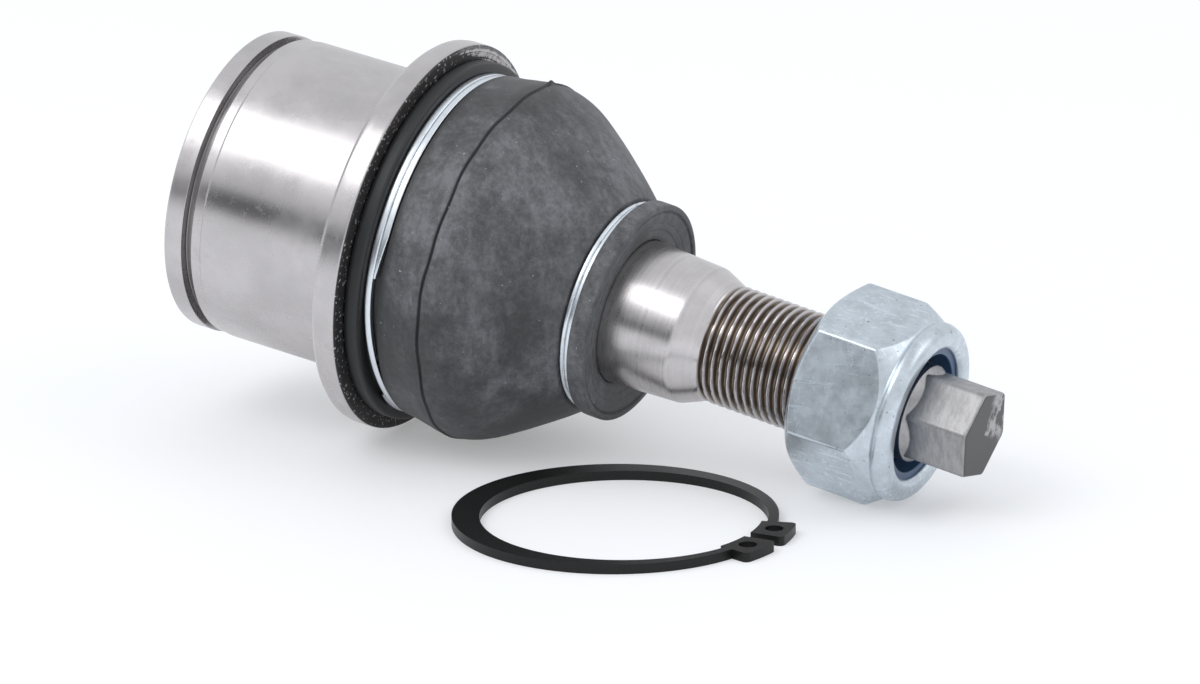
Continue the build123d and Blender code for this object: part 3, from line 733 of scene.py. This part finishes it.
def stud_stations(stud):
    """Half section of the stud as (radius, station), from the flat on the ball to the end of the
    tail: an arc for the ball, a smooth flare, straight lines with eased corners for the shank, and
    many even steps along the thread."""
    flat, neck, ball_points = 162.4, 30.2, 48
    swing = np.radians(np.linspace(flat, neck, ball_points))
    ball = np.stack([stud.ball * np.sin(swing), stud.ball * np.cos(swing)], axis=1)
    flare = curve_through(np.array([
        (stud.neck, 20.0 * MM), (stud.neck, 27 * MM), (8.9 * MM, 32 * MM), (11.6 * MM, 38.5 * MM),
        (stud.taper_large, 43 * MM), (stud.taper_large, 45 * MM)]), steps=8)
    blank = stud.thread - 0.1 * MM
    shank = eased(np.array([
        (stud.taper_large, 45.5 * MM), (stud.taper_large, stud.taper_low),
        (stud.taper_small, stud.taper_high), (blank, stud.thread_low),
        (blank, stud.thread_low + 0.6 * MM)]),
        np.array([0.0, 0.2, 0.5, 0.4, 0.0]) * MM)[EASE_STEPS + 2:-EASE_STEPS - 2]
    thread_end, steps_a_turn = stud.thread_high + 2 * MM, 12
    turns = (thread_end - stud.thread_low) / stud.pitch
    along = np.linspace(stud.thread_low + 0.5 * MM, thread_end, int(turns * steps_a_turn))
    cone = np.minimum(stud.thread, stud.thread + stud.thread_high - along)
    thread = np.stack([np.maximum(cone, stud.pilot), along], axis=1)
    chamfer, chamfer_points = 1.2 * MM, 17
    bevel = np.linspace(-0.25 * MM, chamfer + 0.15 * MM, chamfer_points)
    tail = np.stack([stud.pilot - np.clip(bevel, 0, chamfer), stud.pilot_end + bevel], axis=1)
    low = stud.flats / 2
    end = np.array([
        (low, stud.tail_end - MM), (low, stud.tail_end - 0.45 * MM), (low, stud.tail_end - 0.35 * MM),
        (low - 0.08 * MM, stud.tail_end - 0.1 * MM), (low - 0.3 * MM, stud.tail_end),
        (low - 0.8 * MM, stud.tail_end), (3 * MM, stud.tail_end), (0, stud.tail_end)])
    return np.concatenate([[(0.0, ball[0, 1])], ball, flare, shank, thread, tail, end])


def stud_grid(stud, stance):
    """Closed grid of the stud. The radius at a heading and station is the blank's, cut by a helix:
    the depth follows how far the station, less the pitch times the heading in turns, is from a
    crest, with a flat on crest and root. On the tail it is the larger of the bevel's cone and the
    hexagon, whose corners a circle trims."""
    line = stud_stations(stud)
    heading = np.linspace(0, TURN, stud.steps, endpoint=False)[None, :] + stud.tail_turn
    blank, station = line[:, :1], line[:, 1:]
    phase = (station / stud.pitch - heading / TURN) % 1
    crest, flank = 0.1, 0.72
    off_crest = np.clip((np.abs(2 * phase - 1) - crest) / flank, 0, 1)
    fade = np.clip((station - stud.thread_low + 0.2 * MM) / MM, 0, 1)
    fade = fade * (station < stud.thread_high + 2 * MM)
    cut = stud.thread - stud.depth * off_crest * fade
    radius = np.where(fade > 0, np.minimum(blank, cut), blank)
    half = stud.flats / 2
    hexagon = np.minimum(hexagon_reach(heading - stud.tail_turn, half, 0.12 * MM), stud.corner)
    tail = np.maximum(blank * (blank > half), hexagon * np.minimum(blank / half, 1))
    radius = np.where(station > stud.pilot_end, tail, radius)
    return around(axes_of(stance, 1.0), radius, heading, station)


def nut_grid(nut, stance):
    """Closed grid of the nut. At each heading the outline runs out along the bevel of the bearing
    face until it meets the hexagon, up the flat to the crown's cone, in along the cone to the waist
    and over the collar's round into the lip, then back along the pocket and the bore. The headings
    crowd together at the hexagon's corners."""
    crowding, slack = 0.85, 0.05 * MM
    even = np.linspace(0, TURN, nut.steps, endpoint=False)
    heading = even - crowding * np.sin(6 * even) / 6
    reach = hexagon_reach(heading, nut.flats / 2, nut.corner_round)
    foot = (reach - nut.face) * math.tan(nut.bevel)
    fall = (nut.crown_high - nut.crown_low) / (nut.flats / 2 / math.cos(TURN / 12) - nut.waist)
    crown = nut.crown_high - (reach - nut.waist) * fall
    pocket, floor = nut.insert + slack, nut.insert_low - slack
    collar, height, curl = nut.collar, nut.height, nut.curl
    corners = [
        (nut.bore, 0.75 * MM, 0.2), (nut.bore + 0.85 * MM, 0, 0.2), (nut.face, 0, 0.35),
        (reach, foot, 0.5), (reach, crown, 0.45), (nut.waist, nut.crown_high, 0.3),
        (collar, nut.collar_low, 0.25), (collar, height - curl, 0.6),
        (collar - 0.42 * MM, height - 0.42 * curl, 0.6),
        (collar - 1.2 * MM, height - 0.08 * curl, 0.5), (collar - 2.2 * MM, height, 0.5),
        (nut.lip + 0.65 * MM, height - 0.15 * MM, 0.4),
        (nut.lip, height - 0.8 * MM, 0.4), (nut.lip, nut.insert_high, 0.1),
        (pocket, nut.insert_high, 0.1), (pocket, floor, 0.1), (nut.bore, floor, 0.1),
    ]
    line = np.stack([np.stack([reach * 0 + r, reach * 0 + z], axis=-1) for r, z, _ in corners], axis=1)
    line = eased(line, np.array([cut for _, _, cut in corners]) * MM, steps=6)
    radius, station = line[..., 0].T, line[..., 1].T + nut.back
    return around(axes_of(stance, 1.0), radius, heading[None, :] + nut.turn, station)


def insert_line(nut):
    """Half section of the nylon insert, whose bore clears the crests of the thread."""
    low, high = nut.back + nut.insert_low, nut.back + nut.insert_high
    corners = [(nut.bore, low), (nut.insert, low), (nut.insert, high), (nut.bore, high)]
    rounding = 0.25 * MM
    return eased(np.array(corners), rounding)


# ---- operators ----
class BALLJOINT_OT_housing(bpy.types.Operator):
    """Builds the turned housing"""
    bl_idname = "balljoint.housing"
    bl_label = "Housing"

    def execute(self, context):
        joint = context.scene.ball_joint
        axes = axes_of(joint.stance, 0.0)
        grid = lathe(axes, housing_line(joint.housing), joint.housing.steps)
        piece = skin("housing_turned", grid, wrap_rows=True, crease=25)
        surface = material("turned_steel", turned_steel, axes, joint.housing, joint.colour)
        show(piece, surface, "shell", "housing")
        return {"FINISHED"}


class BALLJOINT_OT_boot(bpy.types.Operator):
    """Builds the rubber boot, which bends between the housing and the stud"""
    bl_idname = "balljoint.boot"
    bl_label = "Boot"

    def execute(self, context):
        joint = context.scene.ball_joint
        grid, seam = boot_grid(joint.boot, joint.stance)
        piece = skin("boot_moulded", grid, wrap_rows=True, crease=40, marks={"seam": seam})
        axes = axes_of(joint.stance, 0.0)
        surface = material("boot_rubber", boot_rubber, axes, joint.colour)
        piece.data.materials.append(surface)
        end = axes_of(joint.stance, 1.0)[:, 2] * joint.boot.lean_high
        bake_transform(piece)
        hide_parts("dust_boot")
        return {"FINISHED"}


class BALLJOINT_OT_wires(bpy.types.Operator):
    """Winds the two flat-wire rings that hold the boot"""
    bl_idname = "balljoint.wires"
    bl_label = "Wire rings"

    def execute(self, context):
        joint = context.scene.ball_joint
        wires = joint.wire
        low, high = axes_of(joint.stance, 0.0), axes_of(joint.stance, 1.0)
        surface = material("wire_zinc", wire_zinc, low, wires, joint.colour)
        for part, axes, body in (("clamp", low, "shell"), ("neck", high, "yoke")):
            grid = wound_wire(axes, wires, part)
            piece = skin(f"{part}_wire", grid, wrap_rows=False, crease=35)
            show(piece, surface, body, f"{part}_ring")
        return {"FINISHED"}


class BALLJOINT_OT_stud(bpy.types.Operator):
    """Builds the ball stud with its thread and wrench tail"""
    bl_idname = "balljoint.stud"
    bl_label = "Ball stud"

    def execute(self, context):
        joint = context.scene.ball_joint
        axes = axes_of(joint.stance, 1.0)
        grid = stud_grid(joint.stud, joint.stance)
        piece = skin("stud_ground", grid, wrap_rows=False, crease=35)
        surface = material("stud_steel", stud_steel, axes, joint.stud, joint.colour)
        show(piece, surface, "stud", "ball_stud")
        return {"FINISHED"}


class BALLJOINT_OT_nut(bpy.types.Operator):
    """Builds the lock nut and its nylon insert"""
    bl_idname = "balljoint.nut"
    bl_label = "Lock nut"

    def execute(self, context):
        joint = context.scene.ball_joint
        surface = material("zinc_plate", zinc, joint.colour.zinc, rough=0.22)
        grid = nut_grid(joint.nut, joint.stance)
        piece = skin("nut_plated", grid, wrap_rows=True, crease=40)
        show(piece, surface, "nut", "lock_nut")
        surface = material("nylon", plain, joint.colour.nylon, metallic=0.0, rough=0.25, lumps=900)
        grid = lathe(axes_of(joint.stance, 1.0), insert_line(joint.nut), joint.stud.steps)
        piece = skin("insert_nylon", grid, wrap_rows=True, crease=30)
        show(piece, surface, "insert", "nylon_insert")
        return {"FINISHED"}


class BALLJOINT_OT_ring(bpy.types.Operator):
    """Paints the loose retaining ring"""
    bl_idname = "balljoint.ring"
    bl_label = "Retaining ring"

    def execute(self, context):
        black = context.scene.ball_joint.colour.phosphate
        surface = material("phosphate", plain, black, metallic=0.6, rough=0.36, lumps=1800)
        paint_node("retaining_ring", surface)
        return {"FINISHED"}


class BALLJOINT_OT_inside(bpy.types.Operator):
    """Paints the cover, its seal, the spring, the pressure plate and the race halves"""
    bl_idname = "balljoint.inside"
    bl_label = "Inner parts"

    def execute(self, context):
        colours = context.scene.ball_joint.colour
        for finish, tint, metallic, rough, lumps, nodes in (
                ("race_polymer", colours.polymer, 0.0, 0.4, 700, ("front_bearing", "rear_bearing")),
                ("spring_steel", colours.spring, 1.0, 0.3, 900, ("disc_spring", "pressure_plate")),
                ("seal_rubber", colours.rubber, 0.0, 0.5, 1200, ("cover_seal",))):
            surface = material(finish, plain, tint, metallic, rough, lumps)
            for node in nodes:
                paint_node(node, surface)
        paint_node("cover_plate", material("cover_zinc", zinc, colours.zinc, rough=0.24))
        return {"FINISHED"}


# ---- stage ----
def turned_to(spot, across, upright, back):
    """Matrix that stands at a spot with its own x, y and z along three directions."""
    turn = np.stack([across, upright, back], axis=1)
    return Matrix.Translation(spot) @ Matrix(turn.tolist()).to_4x4()


def area_light(name, power, spot, target, width, depth):
    """Soft box at a spot, facing a target."""
    data = bpy.data.lights.new(name, "AREA")
    data.shape = "RECTANGLE"
    data.size, data.size_y, data.energy = width, depth, power
    toward = np.array(target, float) - np.array(spot, float)
    toward /= np.linalg.norm(toward)
    side = np.cross(toward, (0, 0, 1))
    side /= np.linalg.norm(side)
    made = into_scene(name, data)
    made.matrix_world = turned_to(spot, side, np.cross(side, toward), -toward)
    return made


def flat_sheet(name, corners, surface):
    """One quad through four corners."""
    mesh = bpy.data.meshes.new(name)
    mesh.from_pydata(corners, [], [(0, 1, 2, 3)])
    mesh.materials.append(surface)
    return into_scene(name, mesh)


def screen(name, left, right, low, high, surface):
    """Upright sheet over the line between two places, which only shows in bright metal."""
    made = flat_sheet(name, [(*left, low), (*right, low), (*right, high), (*left, high)], surface)
    made.visible_camera = made.visible_diffuse = made.visible_shadow = False
    return made


def even_sky(tree, strength):
    """Even light from all round, which the camera sees as plain white."""
    cool, seen = (0.95, 0.97, 1.0, 1.0), 1.02
    tree.nodes.clear()
    camera = Wire(tree, add_node(tree, "ShaderNodeLightPath", {}, {}).outputs["Is Camera Ray"])
    tint = camera.mix(cool, WHITE)
    sky = tint.node("ShaderNodeBackground", {}, {
        "Color": tint, "Strength": strength + camera * (seen - strength)})
    add_node(tree, "ShaderNodeOutputWorld", {}, {"Surface": sky})


def view_matrix(stage):
    """Place and turn of the camera from its heading, dip and roll."""
    level = math.cos(stage.dip)
    right = np.array([math.cos(stage.heading), math.sin(stage.heading), 0])
    ahead = np.array([-right[1] * level, right[0] * level, -math.sin(stage.dip)])
    up = np.cross(right, ahead)
    across = right * math.cos(stage.roll) + up * math.sin(stage.roll)
    return turned_to(stage.camera, across, np.cross(across, ahead), -ahead)


class BALLJOINT_OT_stage(bpy.types.Operator):
    """Sets the floor, the lights, the background and the camera"""
    bl_idname = "balljoint.stage"
    bl_label = "Stage"

    def execute(self, context):
        joint = context.scene.ball_joint
        gap, edge = 0.02 * MM, 1.5
        level = joint.stance.floor - gap
        corners = [(-edge, -edge, level), (edge, -edge, level), (edge, edge, level),
                   (-edge, edge, level)]
        white = material("floor_white", floor_white, joint.colour.floor, joint.stage)
        dark = material("screen_black", screen_black)
        flat_sheet("floor", corners, white)
        screen("screen_left", left=(-0.9, -0.7), right=(-0.25, -1.1), low=-0.15, high=0.25,
                   surface=dark)
        screen("screen_right", left=(-0.25, -1.1), right=(0.0, -1.15), low=-0.15, high=0.5,
                   surface=dark)
        area_light("softbox", joint.stage.key, spot=(-0.27, -0.55, 0.79), target=(0.04, 0, 0),
                       width=0.8, depth=0.48)
        area_light("fill", joint.stage.fill, spot=(0.9, 0.25, 0.75), target=(0.06, 0, 0),
                       width=0.7, depth=0.7)
        world = bpy.data.worlds.new("studio")
        world.use_nodes = True
        even_sky(world.node_tree, joint.stage.sky)
        context.scene.world = world
        data = bpy.data.cameras.new("camera")
        data.lens, data.sensor_width, data.sensor_fit = joint.stage.lens, SENSOR_WIDTH, "HORIZONTAL"
        context.scene.camera = into_scene("camera", data)
        context.scene.camera.matrix_world = view_matrix(joint.stage)
        context.scene.view_settings.view_transform = "Standard"
        return {"FINISHED"}


class BALLJOINT_PT_panel(bpy.types.Panel):
    """Buttons that build each piece, with the sizes they are built from"""
    bl_idname = "BALLJOINT_PT_panel"
    bl_label = "Ball joint"
    bl_space_type = "VIEW_3D"
    bl_region_type = "UI"
    bl_category = "Ball joint"

    def draw(self, context):
        for operator in OPERATORS:
            self.layout.operator(operator.bl_idname)
        for group in SETTINGS[:-1]:
            box = self.layout.box()
            name = group.__name__.removesuffix("Settings").lower()
            box.label(text=name.capitalize())
            values = getattr(context.scene.ball_joint, name)
            for key in group.__annotations__:
                box.prop(values, key)


SETTINGS = (StanceSettings, HousingSettings, WireSettings, BootSettings, StudSettings, NutSettings,
            ColourSettings, StageSettings, JointSettings)
OPERATORS = (BALLJOINT_OT_housing, BALLJOINT_OT_boot, BALLJOINT_OT_wires, BALLJOINT_OT_stud,
             BALLJOINT_OT_nut, BALLJOINT_OT_ring, BALLJOINT_OT_inside, BALLJOINT_OT_stage)


def register():
    for kind in (*SETTINGS, *OPERATORS, BALLJOINT_PT_panel):
        bpy.utils.register_class(kind)
    bpy.types.Scene.ball_joint = bpy.props.PointerProperty(type=JointSettings)


def unregister():
    del bpy.types.Scene.ball_joint
    for kind in reversed((*SETTINGS, *OPERATORS, BALLJOINT_PT_panel)):
        bpy.utils.unregister_class(kind)


def main():
    """Builds every piece and the stage."""
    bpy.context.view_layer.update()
    register()
    bpy.ops.balljoint.housing()
    bpy.ops.balljoint.boot()
    bpy.ops.balljoint.wires()
    bpy.ops.balljoint.stud()
    bpy.ops.balljoint.nut()
    bpy.ops.balljoint.ring()
    bpy.ops.balljoint.inside()
    bpy.ops.balljoint.stage()


if __name__ == "__main__":
    main()
